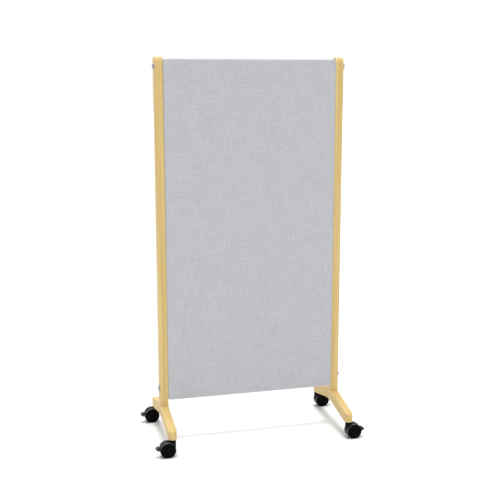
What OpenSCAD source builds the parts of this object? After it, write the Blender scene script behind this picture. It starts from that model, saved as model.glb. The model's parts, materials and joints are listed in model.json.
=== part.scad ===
// Rolling partition: an upholstered screen panel held between two timber posts.
// Each post stands on two sloping legs, and each leg ends on a braked twin-wheel caster.
// Millimetres, +Z up. The origin is on the floor below the middle of the screen.
// X runs along the screen and its front faces -Y.

/* [Overall] */
// Width over the two posts
screen_w = 800; // [600:10:1400]
// Height of the posts above the floor
screen_h = 1610; // [1200:10:2000]
// Drop from the top of the posts to the top edge of the panel
panel_drop = 9; // [4:1:60]
// Height of the lower edge of the panel above the floor
panel_lift = 177; // [160:1:300]

/* [Posts and legs] */
// Width of the posts and legs, seen from the front
post_w = 34; // [30:1:45]
// Depth of the posts, front to back
post_d = 48; // [40:1:70]
// Distance between the front and the rear caster stem
caster_span = 410; // [320:10:600]
// Rise of the underside of a leg from its end to the post
arch_rise = 32; // [10:1:50]
// Height of a leg where it meets the post
leg_root_h = 44; // [40:1:60]
// Height of the upright end of a leg
leg_tip_h = 35; // [34:1:45]
// Length of the flat underside at the end of a leg
leg_pad = 37; // [34:1:60]

/* [Panel] */
// Thickness of the upholstered panel
panel_t = 40; // [36:1:60]
// How far the middle of the panel stands in front of the middle of the posts
panel_forward = 10; // [0:1:12]
// Radius of the soft edges and corners of the panel
panel_edge_r = 8; // [6:1:16]
// Gap between the panel and each post, 0 where it is bolted tight
panel_gap = 0; // [0:0.5:20]
// Thickness of the woven cover
cover_t = 1.5; // [1:0.25:3]
// Thickness of the inner timber frame, front to back
frame_t = 28; // [26:1:32]
// Width of the stiles and rails of the inner frame
frame_w = 32; // [28:1:45]

/* [Fixings] */
// Distance of the upper panel bolts from the upper edge of the panel
top_bolt_drop = 28; // [28:1:150]
// Distance of the lower panel bolts from the lower edge of the panel
bottom_bolt_rise = 51; // [28:1:150]
// Diameter of the panel bolts
bolt_d = 8; // [5:1:10]
// Diameter of the domed bolt heads
bolt_head_d = 26; // [16:1:28]
// Height of the domed bolt heads
bolt_head_h = 8; // [4:0.5:9]
// Diameter of the spacers between post and panel
spacer_d = 18; // [16:1:20]
// Diameter of the threaded inserts in the inner frame
panel_insert_d = 13; // [12.5:0.5:16]
// Length of the threaded inserts in the inner frame
panel_insert_len = 16; // [12:1:20]
// Diameter of the dowels between posts and legs
leg_dowel_d = 10; // [6:1:12]
// Length of the dowels between posts and legs
leg_dowel_len = 36; // [24:1:38]
// Diameter of the dowels of the inner frame
rail_dowel_d = 8; // [5:1:8]

/* [Casters] */
// Height of the underside of the leg ends above the floor
caster_h = 74; // [73:1:90]
// Diameter of the wheels
wheel_d = 65; // [60:1:65]
// Width of one wheel
wheel_w = 13.2; // [12:0.2:18]
// Distance of the axle behind the swivel axis
trail = 21.5; // [18:0.5:26]
// Thickness of the housing between the two wheels
web_t = 14; // [13:0.5:18]
// Diameter of the swivel boss
boss_d = 25; // [22:1:30]
// Diameter of the axle
axle_d = 6; // [5:0.5:8]
// Diameter of the threaded shank of a stem
shank_d = 10; // [8:1:12]
// Length of the threaded shank of a stem
shank_len = 22; // [16:1:26]
// Diameter of the pivot below the hexagon of a stem
pivot_d = 8; // [6:0.5:9]
// Reach of the brake pedal from the swivel axis
pedal_reach = 71; // [68:0.5:85]
// Width of the foot plate of the brake pedal
pedal_w = 24; // [16:1:36]
// Height of the foot plate of the brake pedal at its end next to the wheels
pedal_root_h = 18; // [8:0.5:18]
// Height of the foot plate of the brake pedal at its round outer end
pedal_tip_h = 6; // [5:0.5:10]

/* [Hidden] */
$fn = 64;

// Clearances and small details
cut = 1;               // how far a cutting tool runs past the face it opens
running_gap = 0.05;    // radial clearance of a pivot or wheel on its pin
bolt_gap = 0.3;        // radial clearance of a bolt in its hole
side_gap = 0.8;        // between a wheel and the housing
rim_gap = 1;           // between a wheel's rim and what curves round it
core_gap = 1;          // between the core and the inner frame, and between dowels and inserts
frame_gap = 0.3;       // between the inner frame's corners and the cover
bolt_short = 2;        // how far a panel bolt ends before the end of its insert
axle_gap = 0.5;        // between the end of an axle and the cap of its wheel

// Timber
timber_color = [0.86, 0.75, 0.50];
post_x = (screen_w - post_w) / 2;
stem_y = caster_span / 2;
leg_tip_y = stem_y + post_w / 2;
arch_z = caster_h + arch_rise;
leg_dowel_zs = [arch_z + leg_root_h / 4, arch_z + leg_root_h * 2 / 3];

// Panel
cover_color = [0.75, 0.76, 0.78];
panel_w = screen_w - 2 * post_w - 2 * panel_gap;
panel_top = screen_h - panel_drop;
panel_h = panel_top - panel_lift;
inner_r = panel_edge_r - cover_t;
// The sharp corners of the inner frame just fit inside the rounded cover
frame_over = max(0, frame_t / 2 - (panel_t / 2 - panel_edge_r));
frame_inset = cover_t + inner_r - sqrt((inner_r * inner_r - frame_over * frame_over) / 2) + frame_gap;
frame_half_w = panel_w / 2 - frame_inset;
frame_low = panel_lift + frame_inset;
frame_high = panel_top - frame_inset;
middle_z = (frame_low + frame_high) / 2;
rail_len = 2 * (frame_half_w - frame_w);
rail_dowel_len = 2 * (frame_w - panel_insert_len - core_gap);
rail_dowel_y = frame_t / 4;
rail_zs = [frame_low + frame_w / 2, middle_z, frame_high - frame_w / 2];

// Fixings
metal_color = [0.72, 0.72, 0.74];
bolt_zs = [panel_lift + bottom_bolt_rise, panel_top - top_bolt_drop];
spacer_len = panel_gap + frame_inset;
bolt_len = post_w + spacer_len + panel_insert_len - bolt_short;
bolt_dome_h = bolt_head_h * 0.6;  // of the dome above the straight rim of a bolt head
bolt_dome_r = (pow(bolt_head_d / 2, 2) + pow(bolt_dome_h, 2)) / (2 * bolt_dome_h);
bolt_socket_r = bolt_d * 0.36;  // over the corners of its hexagon

// Casters, drawn with the swivel axis on Z and the wheels trailing towards +X
plastic_color = [0.10, 0.10, 0.11];
wheel_r = wheel_d / 2;
hex_h = 3;
swivel_gap = 0.5;
boss_top = caster_h - hex_h - swivel_gap;
boss_over_axle = 8;    // height of the foot of the swivel boss above the axle
boss_foot = wheel_r + boss_over_axle;
pivot_sink = 2;        // how far the pivot reaches below the foot of the boss
pivot_low = boss_foot - pivot_sink;
web_shoulder = 2;      // how far the web ends below the top of the boss
fender_over = 0.8;     // how far the rim of the web stands out past the wheels
fender_r = wheel_r + fender_over;
housing_low = wheel_r * 0.7;
hub_r = 8;
hub_cap_t = 2.5;       // wall of a wheel over the end of its axle
axle_len = web_t + 2 * (side_gap + wheel_w - hub_cap_t - axle_gap);
insert_wall = 2.5;
insert_over = 2;       // how far an insert runs past the end of the shank
insert_len = shank_len + insert_over;
hex_d = shank_d + 2 * insert_wall + 4;

// Brake pedal
pedal_pin_d = 5;
pedal_pin_wall = 2;
pedal_pin_x = trail + 17;
pedal_pin_z = wheel_r + 7;
pedal_boss_d = pedal_pin_d + 2 * pedal_pin_wall;
pedal_arm_t = 5;
pedal_arm_h = 13;      // height of the arm where it meets the foot plate
pedal_overlap = 2;     // how far the arm runs into the foot plate
pedal_room = 3.5;      // between the wheels' rims and the foot plate
pedal_plate_x = trail + wheel_r + pedal_room;
pedal_plate_z = wheel_r + 5;
pedal_slot_gap = 0.4;

// ---------------------------------------------------------------- posts and legs

// Side outline of a post, rounded over at the top; x is front to back, y is up
module post_outline() {
    translate([-post_d / 2, arch_z])
        square([post_d, screen_h - post_d / 2 - arch_z]);
    translate([0, screen_h - post_d / 2])
        circle(d = post_d);
}

// Turns an outline drawn in front-to-back and height into a slab of width w about X = 0
module slab(w) {
    translate([-w / 2, 0, 0])
        rotate([90, 0, 90])
            linear_extrude(w)
                children();
}

// A post about X = 0; side is 1 where the panel lies towards -X, and -1 where it lies towards +X
module post() {
    color(timber_color)
        difference() {
            slab(post_w) post_outline();
            for (z = bolt_zs)
                translate([-post_w / 2 - cut, -panel_forward, z])
                    rotate([0, 90, 0])
                        cylinder(r = bolt_d / 2 + bolt_gap, h = post_w + 2 * cut);
            for (end = [-1, 1])
                leg_dowel_pair(end);
        }
}

// The two dowels that join the post to the leg towards end * Y
module leg_dowel_pair(end) {
    for (z = leg_dowel_zs)
        translate([0, end * post_d / 2 - leg_dowel_len / 2, z])
            rotate([-90, 0, 0])
                cylinder(d = leg_dowel_d, h = leg_dowel_len);
}

// Side outline of the rear leg
module leg_outline() {
    polygon([
        [post_d / 2, arch_z],
        [leg_tip_y - leg_pad, caster_h],
        [leg_tip_y, caster_h],
        [leg_tip_y, caster_h + leg_tip_h],
        [post_d / 2, arch_z + leg_root_h]
    ]);
}

// A leg about X = 0 that runs towards +Y and ends in a half round about the caster stem
module leg() {
    color(timber_color)
        difference() {
            intersection() {
                slab(post_w) leg_outline();
                translate([0, 0, caster_h])
                    linear_extrude(arch_rise + leg_root_h)
                        union() {
                            translate([-post_w / 2, post_d / 2])
                                square([post_w, stem_y - post_d / 2]);
                            translate([0, stem_y])
                                circle(d = post_w);
                        }
            }
            leg_dowel_pair(1);
            translate([0, stem_y, caster_h - cut])
                cylinder(d = shank_d + 2 * insert_wall, h = insert_len + cut);
        }
}

module left_post() { translate([-post_x, 0, 0]) post(); }
module right_post() { translate([post_x, 0, 0]) post(); }
module left_front_leg() { translate([-post_x, 0, 0]) mirror([0, 1, 0]) leg(); }
module left_rear_leg() { translate([-post_x, 0, 0]) leg(); }
module right_front_leg() { translate([post_x, 0, 0]) mirror([0, 1, 0]) leg(); }
module right_rear_leg() { translate([post_x, 0, 0]) leg(); }

module leg_dowels() {
    color(timber_color)
        for (x = [-post_x, post_x], end = [-1, 1])
            translate([x, 0, 0])
                leg_dowel_pair(end);
}

// ---------------------------------------------------------------- panel

// Sets what is drawn about the middle of the panel's thickness in its place between the posts
module on_panel() {
    translate([0, -panel_forward, 0])
        children();
}

// Half of the panel's edge in section, from the middle of its thickness to one face.
// x runs outwards over the edge's radius r and y runs towards the face, t away.
module edge_section(r, t, back) {
    translate([0, -back])
        square([r, t - r + back]);
    intersection() {
        translate([0, t - r])
            circle(r = r);
        square([r, t]);
    }
}

// Half of the soft-edged panel, from its middle plane to its front face at -Y.
// inset draws it smaller all round, and back runs it past the middle plane.
module half_panel(inset, back) {
    r = panel_edge_r - inset;
    t = panel_t / 2 - inset;
    half_w = panel_w / 2 - panel_edge_r;
    low = panel_lift + panel_edge_r;
    high = panel_top - panel_edge_r;
    translate([-half_w, -t, low])
        cube([2 * half_w, t + back, high - low]);
    for (side = [0, 1])
        mirror([side, 0, 0])
            translate([half_w, 0, low])
                linear_extrude(high - low)
                    mirror([0, 1])
                        edge_section(r, t, back);
    for (end = [0, 1])
        translate([-half_w, 0, end == 0 ? low : high])
            rotate([0, 90, 0])
                linear_extrude(2 * half_w)
                    mirror([end, 0])
                        mirror([0, 1])
                            edge_section(r, t, back);
    for (side = [0, 1], end = [0, 1])
        mirror([side, 0, 0])
            translate([half_w, 0, end == 0 ? low : high])
                rotate([90, end == 0 ? 90 : 0, 0])
                    rotate_extrude(angle = 90)
                        edge_section(r, t, back);
}

// One half of the woven cover, with holes for the spacers
module half_cover() {
    color(cover_color)
        difference() {
            half_panel(0, 0);
            half_panel(cover_t, cut);
            for (side = [-1, 1], z = bolt_zs)
                translate([side * (panel_w - frame_inset) / 2, 0, z])
                    rotate([0, 90, 0])
                        cylinder(d = spacer_d, h = 2 * frame_inset, center = true);
        }
}

module front_cover() { on_panel() half_cover(); }
module rear_cover() { on_panel() mirror([0, 1, 0]) half_cover(); }

// Felt laid on the inner frame, as far out as the flat of the cover
module wadding() {
    color([0.85, 0.85, 0.83])
        translate([-panel_w / 2 + panel_edge_r, -panel_t / 2 + cover_t, panel_lift + panel_edge_r])
            cube([
                panel_w - 2 * panel_edge_r,
                panel_t / 2 - cover_t - frame_t / 2,
                panel_h - 2 * panel_edge_r
            ]);
}

module front_wadding() { on_panel() wadding(); }
module rear_wadding() { on_panel() mirror([0, 1, 0]) wadding(); }

// An upright of the inner frame, on the side towards +X
module stile() {
    color([0.80, 0.68, 0.48])
        difference() {
            translate([frame_half_w - frame_w, -frame_t / 2, frame_low])
                cube([frame_w, frame_t, frame_high - frame_low]);
            rail_joint_dowels();
            panel_insert_holes();
        }
}

module left_stile() { on_panel() mirror([1, 0, 0]) stile(); }
module right_stile() { on_panel() stile(); }

// A rail of the inner frame, centred at height z
module rail(z) {
    color([0.80, 0.68, 0.48])
        difference() {
            translate([-rail_len / 2, -frame_t / 2, z - frame_w / 2])
                cube([rail_len, frame_t, frame_w]);
            rail_joint_dowels();
            mirror([1, 0, 0]) rail_joint_dowels();
        }
}

module top_rail() { on_panel() rail(rail_zs[2]); }
module middle_rail() { on_panel() rail(rail_zs[1]); }
module bottom_rail() { on_panel() rail(rail_zs[0]); }

// Two dowels side by side at each rail's end towards +X
module rail_joint_dowels() {
    for (z = rail_zs, side = [-1, 1])
        translate([rail_len / 2 - rail_dowel_len / 2, side * rail_dowel_y, z])
            rotate([0, 90, 0])
                cylinder(d = rail_dowel_d, h = rail_dowel_len);
}

module rail_dowels() {
    color(timber_color)
        on_panel() {
            rail_joint_dowels();
            mirror([1, 0, 0]) rail_joint_dowels();
        }
}

// A slab of sound-absorbing felt between two rails
module core(low, high) {
    color([0.55, 0.56, 0.58])
        translate([-rail_len / 2 + core_gap, -frame_t / 2, low + frame_w / 2 + core_gap])
            cube([rail_len - 2 * core_gap, frame_t, high - low - frame_w - 2 * core_gap]);
}

module upper_core() { on_panel() core(rail_zs[1], rail_zs[2]); }
module lower_core() { on_panel() core(rail_zs[0], rail_zs[1]); }

// ---------------------------------------------------------------- panel fixings

// Bodies of the threaded inserts in the stile towards +X
module panel_insert_holes() {
    for (z = bolt_zs)
        translate([frame_half_w - panel_insert_len, 0, z])
            rotate([0, 90, 0])
                cylinder(d = panel_insert_d, h = panel_insert_len + cut);
}

module panel_insert(z) {
    translate([frame_half_w - panel_insert_len, 0, z])
        rotate([0, 90, 0])
            difference() {
                cylinder(d = panel_insert_d, h = panel_insert_len);
                translate([0, 0, -cut])
                    cylinder(d = bolt_d, h = panel_insert_len + 2 * cut);
            }
}

module panel_inserts() {
    color([0.80, 0.70, 0.45])
        on_panel()
            for (side = [0, 1], z = bolt_zs)
                mirror([side, 0, 0])
                    panel_insert(z);
}

// A bolt on the side towards +X at height z, its domed head on the outside of the post
module panel_bolt(z) {
    color(metal_color)
        translate([screen_w / 2, 0, z])
            rotate([0, 90, 0])
                difference() {
                    union() {
                        rotate_extrude()
                            intersection() {
                                translate([0, bolt_head_h - bolt_dome_r])
                                    circle(r = bolt_dome_r);
                                square([bolt_head_d / 2, bolt_head_h]);
                            }
                        translate([0, 0, -bolt_len])
                            cylinder(d = bolt_d, h = bolt_len + cut);
                    }
                    translate([0, 0, bolt_head_h / 2])
                        cylinder(r = bolt_socket_r, h = bolt_head_h, $fn = 6);
                }
}

module left_top_bolt() { on_panel() mirror([1, 0, 0]) panel_bolt(bolt_zs[1]); }
module left_bottom_bolt() { on_panel() mirror([1, 0, 0]) panel_bolt(bolt_zs[0]); }
module right_top_bolt() { on_panel() panel_bolt(bolt_zs[1]); }
module right_bottom_bolt() { on_panel() panel_bolt(bolt_zs[0]); }

// A sleeve on the side towards +X that holds the inner frame off the post
module panel_spacer(z) {
    color(plastic_color)
        translate([frame_half_w, 0, z])
            rotate([0, 90, 0])
                difference() {
                    cylinder(d = spacer_d, h = spacer_len);
                    translate([0, 0, -cut])
                        cylinder(r = bolt_d / 2 + bolt_gap, h = spacer_len + 2 * cut);
                }
}

module left_top_spacer() { on_panel() mirror([1, 0, 0]) panel_spacer(bolt_zs[1]); }
module left_bottom_spacer() { on_panel() mirror([1, 0, 0]) panel_spacer(bolt_zs[0]); }
module right_top_spacer() { on_panel() panel_spacer(bolt_zs[1]); }
module right_bottom_spacer() { on_panel() panel_spacer(bolt_zs[0]); }

// ---------------------------------------------------------------- casters

// Runs along Y through a point of the caster, from y = -len / 2 to len / 2
module cross_pin(x, z, d, len) {
    translate([x, len / 2, z])
        rotate([90, 0, 0])
            cylinder(d = d, h = len);
}

module caster_insert() {
    color([0.80, 0.70, 0.45])
        translate([0, 0, caster_h])
            difference() {
                cylinder(d = shank_d + 2 * insert_wall, h = insert_len);
                translate([0, 0, -cut])
                    cylinder(d = shank_d, h = insert_len + 2 * cut);
            }
}

// Threaded shank, hexagon for a spanner, and the pivot that the housing turns on
module caster_stem() {
    color(metal_color) {
        translate([0, 0, caster_h - hex_h])
            cylinder(d = shank_d, h = hex_h + shank_len);
        translate([0, 0, caster_h - hex_h])
            cylinder(d = hex_d, h = hex_h, $fn = 6);
        translate([0, 0, pivot_low])
            cylinder(d = pivot_d, h = caster_h - hex_h - pivot_low + cut);
    }
}

// Side outline of the web between the wheels; x is along the trail and y is up
module web_outline() {
    difference() {
        union() {
            translate([trail, wheel_r])
                circle(r = fender_r);
            polygon([
                [-boss_d / 2, boss_foot],
                [-boss_d / 2, boss_top - web_shoulder],
                [boss_d / 2, boss_top - web_shoulder],
                [trail, wheel_r + fender_r],
                [trail, boss_foot]
            ]);
        }
        translate([trail - 2 * fender_r, wheel_r - 2 * fender_r])
            square([4 * fender_r, housing_low - wheel_r + 2 * fender_r]);
    }
}

module caster_housing() {
    color(plastic_color)
        difference() {
            union() {
                translate([0, web_t / 2, 0])
                    rotate([90, 0, 0])
                        linear_extrude(web_t)
                            web_outline();
                translate([0, 0, boss_foot])
                    cylinder(d = boss_d, h = boss_top - boss_foot);
            }
            for (side = [-1, 1])
                translate([0, side * (web_t / 2 + boss_d / 2), 0])
                    cross_pin(trail, wheel_r, 2 * (wheel_r + rim_gap), boss_d);
            translate([0, 0, pivot_low - swivel_gap])
                cylinder(r = pivot_d / 2 + running_gap, h = boss_top);
            cross_pin(trail, wheel_r, axle_d, web_t + 2 * cut);
            cross_pin(pedal_pin_x, pedal_pin_z, pedal_pin_d + 2 * running_gap, web_t + 2 * cut);
            translate([
                pedal_pin_x - pedal_boss_d / 2 - rim_gap,
                -pedal_arm_t / 2 - pedal_slot_gap,
                housing_low - cut
            ])
                cube([
                    fender_r,
                    pedal_arm_t + 2 * pedal_slot_gap,
                    pedal_pin_z + pedal_boss_d / 2 + rim_gap - housing_low + cut
                ]);
        }
}

module caster_axle() {
    color(metal_color)
        cross_pin(trail, wheel_r, axle_d, axle_len);
}

// Half section of a wheel; x is the radius and y runs outwards from its inner side
module wheel_section() {
    tread_bevel = 2;
    tread_t = 6.5;
    rim_in = wheel_r - tread_t;
    hollow = wheel_w * 0.45;
    dish = 0.8;
    polygon([
        [axle_d / 2 + running_gap, 0],
        [hub_r, 0],
        [hub_r, hollow],
        [rim_in, hollow],
        [rim_in, 0],
        [wheel_r - tread_bevel / 2, 0],
        [wheel_r, tread_bevel / 2],
        [wheel_r, wheel_w - tread_bevel],
        [wheel_r - tread_bevel * 0.3, wheel_w - tread_bevel * 0.3],
        [wheel_r - tread_bevel, wheel_w],
        [rim_in, wheel_w],
        [rim_in - dish, wheel_w - dish],
        [hub_r + dish, wheel_w - dish],
        [hub_r, wheel_w],
        [0, wheel_w],
        [0, wheel_w - hub_cap_t],
        [axle_d / 2 + running_gap, wheel_w - hub_cap_t]
    ]);
}

// The wheel on the side of the housing towards side * Y
module caster_wheel(side) {
    color(plastic_color)
        translate([trail, side * (web_t / 2 + side_gap), wheel_r])
            rotate([-90 * side, 0, 0])
                rotate_extrude()
                    wheel_section();
}

// Foot plate seen from above, with the two outer corners rounded
module pedal_plan() {
    corner_r = pedal_w / 4;
    translate([pedal_plate_x, -pedal_w / 2])
        square([pedal_reach - pedal_plate_x - corner_r, pedal_w]);
    translate([pedal_plate_x, -pedal_w / 2 + corner_r])
        square([pedal_reach - pedal_plate_x, pedal_w - 2 * corner_r]);
    for (side = [-1, 1])
        translate([pedal_reach - corner_r, side * (pedal_w / 2 - corner_r)])
            circle(r = corner_r);
}

// Where a line from p touches the circle of radius r about c, above for side 1, below for -1
function touch(p, c, r, side) =
    let (turn = atan2(p[1] - c[1], p[0] - c[0]) - side * acos(r / norm(p - c)))
    c + r * [cos(turn), sin(turn)];

// Side outline of the foot plate, a wedge with a round outer end; y is up
module pedal_wedge() {
    tip_r = pedal_tip_h / 2;
    tip = [pedal_reach - tip_r, pedal_plate_z];
    high = [pedal_plate_x, pedal_plate_z + pedal_root_h / 2];
    low = [pedal_plate_x, pedal_plate_z - pedal_root_h / 2];
    polygon([low, touch(low, tip, tip_r, -1), tip, touch(high, tip, tip_r, 1), high]);
    translate(tip)
        circle(r = tip_r);
}

module caster_pedal() {
    color(plastic_color) {
        cross_pin(pedal_pin_x, pedal_pin_z, pedal_pin_d, web_t);
        cross_pin(pedal_pin_x, pedal_pin_z, pedal_boss_d, pedal_arm_t);
        translate([0, pedal_arm_t / 2, 0])
            rotate([90, 0, 0])
                linear_extrude(pedal_arm_t)
                    polygon([
                        [pedal_pin_x, pedal_pin_z - pedal_boss_d / 2],
                        [pedal_plate_x + pedal_overlap, pedal_plate_z - pedal_arm_h / 2],
                        [pedal_plate_x + pedal_overlap, pedal_plate_z + pedal_arm_h / 2],
                        [pedal_pin_x, pedal_pin_z + pedal_boss_d / 2]
                    ]);
        intersection() {
            translate([0, pedal_w / 2, 0])
                rotate([90, 0, 0])
                    linear_extrude(pedal_w)
                        pedal_wedge();
            translate([0, 0, pedal_plate_z - pedal_root_h])
                linear_extrude(2 * pedal_root_h)
                    pedal_plan();
        }
    }
}

module at_front_left() {
    mirror([1, 0, 0])
        translate([post_x, -stem_y, 0])
            children();
}

module at_rear_left() {
    mirror([1, 0, 0])
        translate([post_x, stem_y, 0])
            children();
}

module at_front_right() {
    translate([post_x, -stem_y, 0])
        children();
}

module at_rear_right() {
    translate([post_x, stem_y, 0])
        children();
}

module front_left_insert() { at_front_left() caster_insert(); }
module front_left_stem() { at_front_left() caster_stem(); }
module front_left_housing() { at_front_left() caster_housing(); }
module front_left_axle() { at_front_left() caster_axle(); }
module front_left_near_wheel() { at_front_left() caster_wheel(-1); }
module front_left_far_wheel() { at_front_left() caster_wheel(1); }
module front_left_pedal() { at_front_left() caster_pedal(); }

module rear_left_insert() { at_rear_left() caster_insert(); }
module rear_left_stem() { at_rear_left() caster_stem(); }
module rear_left_housing() { at_rear_left() caster_housing(); }
module rear_left_axle() { at_rear_left() caster_axle(); }
module rear_left_near_wheel() { at_rear_left() caster_wheel(-1); }
module rear_left_far_wheel() { at_rear_left() caster_wheel(1); }
module rear_left_pedal() { at_rear_left() caster_pedal(); }

module front_right_insert() { at_front_right() caster_insert(); }
module front_right_stem() { at_front_right() caster_stem(); }
module front_right_housing() { at_front_right() caster_housing(); }
module front_right_axle() { at_front_right() caster_axle(); }
module front_right_near_wheel() { at_front_right() caster_wheel(-1); }
module front_right_far_wheel() { at_front_right() caster_wheel(1); }
module front_right_pedal() { at_front_right() caster_pedal(); }

module rear_right_insert() { at_rear_right() caster_insert(); }
module rear_right_stem() { at_rear_right() caster_stem(); }
module rear_right_housing() { at_rear_right() caster_housing(); }
module rear_right_axle() { at_rear_right() caster_axle(); }
module rear_right_near_wheel() { at_rear_right() caster_wheel(-1); }
module rear_right_far_wheel() { at_rear_right() caster_wheel(1); }
module rear_right_pedal() { at_rear_right() caster_pedal(); }

// ---------------------------------------------------------------- what is drawn

left_post();
right_post();
left_front_leg();
left_rear_leg();
right_front_leg();
right_rear_leg();
leg_dowels();
left_stile();
right_stile();
top_rail();
middle_rail();
bottom_rail();
rail_dowels();
upper_core();
lower_core();
front_wadding();
rear_wadding();
front_cover();
rear_cover();
left_top_bolt();
left_bottom_bolt();
right_top_bolt();
right_bottom_bolt();
left_top_spacer();
left_bottom_spacer();
right_top_spacer();
right_bottom_spacer();
panel_inserts();
front_left_insert();
front_left_stem();
front_left_housing();
front_left_axle();
front_left_near_wheel();
front_left_far_wheel();
front_left_pedal();
rear_left_insert();
rear_left_stem();
rear_left_housing();
rear_left_axle();
rear_left_near_wheel();
rear_left_far_wheel();
rear_left_pedal();
front_right_insert();
front_right_stem();
front_right_housing();
front_right_axle();
front_right_near_wheel();
front_right_far_wheel();
front_right_pedal();
rear_right_insert();
rear_right_stem();
rear_right_housing();
rear_right_axle();
rear_right_near_wheel();
rear_right_far_wheel();
rear_right_pedal();
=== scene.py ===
"""Dresses the packed rolling partition: a grey upholstered screen on two timber posts with casters.

Every length is in metres, in the packed model's own frame: +Z up, the screen's front towards -Y.
"""

import json
import math

import bmesh
import bpy
import numpy as np
from bpy.props import FloatProperty, FloatVectorProperty, IntProperty, PointerProperty
from mathutils import Matrix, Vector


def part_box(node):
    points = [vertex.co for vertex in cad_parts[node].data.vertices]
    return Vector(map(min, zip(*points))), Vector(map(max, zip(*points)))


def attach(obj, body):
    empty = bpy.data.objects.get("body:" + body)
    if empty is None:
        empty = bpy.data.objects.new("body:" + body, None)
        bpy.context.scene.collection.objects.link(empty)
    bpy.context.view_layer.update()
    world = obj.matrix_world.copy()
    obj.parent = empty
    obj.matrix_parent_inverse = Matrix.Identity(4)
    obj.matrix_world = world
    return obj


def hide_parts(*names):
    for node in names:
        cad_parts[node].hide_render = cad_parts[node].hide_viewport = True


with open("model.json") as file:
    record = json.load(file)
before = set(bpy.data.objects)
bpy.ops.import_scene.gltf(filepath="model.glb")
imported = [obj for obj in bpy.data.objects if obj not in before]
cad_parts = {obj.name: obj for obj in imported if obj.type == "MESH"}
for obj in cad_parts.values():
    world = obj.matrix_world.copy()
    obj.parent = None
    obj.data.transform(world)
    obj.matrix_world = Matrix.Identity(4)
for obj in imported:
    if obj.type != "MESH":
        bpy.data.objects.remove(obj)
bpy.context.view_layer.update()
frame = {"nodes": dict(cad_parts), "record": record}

bl_info = {
    "name": "Rolling Partition",
    "version": (1, 0, 0),
    "blender": (4, 5, 0),
    "location": "3D View > Sidebar > Partition",
    "description": "Builds the finished surfaces of a rolling partition around its packed solids",
    "category": "Object",
}

MM = 0.001
SAME = 0.001 * MM  # two lengths that differ by less count as the same
SIDES = ("left", "right")
ENDS = ("front", "rear")
CASTERS = [f"{end}_{side}" for end in ENDS for side in SIDES]


# ------------------------------------------------------------------ places taken from the frame

def extent(node):
    """Size of a CAD node's box."""
    low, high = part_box(node)
    return high - low


def outward(name):
    """-1 for a piece on the left of the screen and 1 for one on the right."""
    return -1 if "left" in name else 1


def frontward(name):
    """-1 for a piece at the front of the screen and 1 for one at the rear."""
    return -1 if "front" in name else 1


# ------------------------------------------------------------------ settings a user would change

class PARTITION_PG_timber(bpy.types.PropertyGroup):
    """Posts and legs"""

    arris: FloatProperty(
        name="Arris Radius", description="Rounding of the long edges of the posts and legs",
        default=1.5 * MM, min=0.2 * MM, max=6 * MM, unit="LENGTH")
    joint_arris: FloatProperty(
        name="Joint Arris", description="Rounding of the edges that meet in a glued joint",
        default=0.35 * MM, min=0.1 * MM, max=1 * MM, unit="LENGTH")
    light_tone: FloatVectorProperty(
        name="Light Wood", description="Colour of the early wood",
        default=(0.795, 0.590, 0.246), subtype="COLOR", min=0, max=1)
    dark_tone: FloatVectorProperty(
        name="Dark Wood", description="Colour of the late wood",
        default=(0.645, 0.445, 0.153), subtype="COLOR", min=0, max=1)
    fibre_width: FloatProperty(
        name="Fibre Width", description="Width of the fine fibres in the grain",
        default=0.9 * MM, min=0.2 * MM, max=4 * MM, unit="LENGTH")


class PARTITION_PG_panel(bpy.types.PropertyGroup):
    """Upholstered panel"""

    edge_radius: FloatProperty(
        name="Edge Radius", description="Radius of the panel's soft edges and corners",
        default=8 * MM, min=6 * MM, max=16 * MM, unit="LENGTH")
    clearance: FloatProperty(
        name="Clearance", description="Width of the joint between the cover and each post",
        default=0.15 * MM, min=0.05 * MM, max=2 * MM, unit="LENGTH")
    crown: FloatProperty(
        name="Crown", description="Swell of the faces over the wadding, from the edge to the middle",
        default=0.6 * MM, min=0, max=3 * MM, unit="LENGTH")
    air_pressure: FloatProperty(
        name="Air Pressure", description="Pressure inside the cover while it is simulated as cloth",
        default=4, min=0.5, max=20)
    air_frames: IntProperty(
        name="Air Frames", description="Frames of the cloth simulation",
        default=8, min=2, max=30)
    give: FloatProperty(
        name="Give", description="Rise of the simulated cloth over which it comes up to the crown",
        default=9 * MM, min=1 * MM, max=30 * MM, unit="LENGTH")
    seam_depth: FloatProperty(
        name="Seam Depth", description="Depth of the seam that joins the two halves of the cover",
        default=1.1 * MM, min=0, max=2 * MM, unit="LENGTH")
    mesh_pitch: FloatProperty(
        name="Mesh Pitch", description="Spacing of the points on the cover",
        default=8 * MM, min=4 * MM, max=20 * MM, unit="LENGTH")
    yarn_pitch: FloatProperty(
        name="Yarn Pitch", description="Spacing of the yarns in the weave",
        default=1.5 * MM, min=0.5 * MM, max=4 * MM, unit="LENGTH")
    light_yarn: FloatVectorProperty(
        name="Light Yarn", description="Colour of the light fibres in the melange",
        default=(0.626, 0.626, 0.646), subtype="COLOR", min=0, max=1)
    dark_yarn: FloatVectorProperty(
        name="Dark Yarn", description="Colour of the dark fibres in the melange",
        default=(0.496, 0.496, 0.514), subtype="COLOR", min=0, max=1)
    stitch_pitch: FloatProperty(
        name="Stitch Pitch", description="Spacing of the stitches along the seam",
        default=5 * MM, min=2 * MM, max=12 * MM, unit="LENGTH")
    stitch_length: FloatProperty(
        name="Stitch Length", description="Length of one stitch across the seam",
        default=2.6 * MM, min=1 * MM, max=6 * MM, unit="LENGTH")
    thread_radius: FloatProperty(
        name="Thread Radius", description="Radius of the sewing thread",
        default=0.22 * MM, min=0.1 * MM, max=0.6 * MM, unit="LENGTH")


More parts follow.
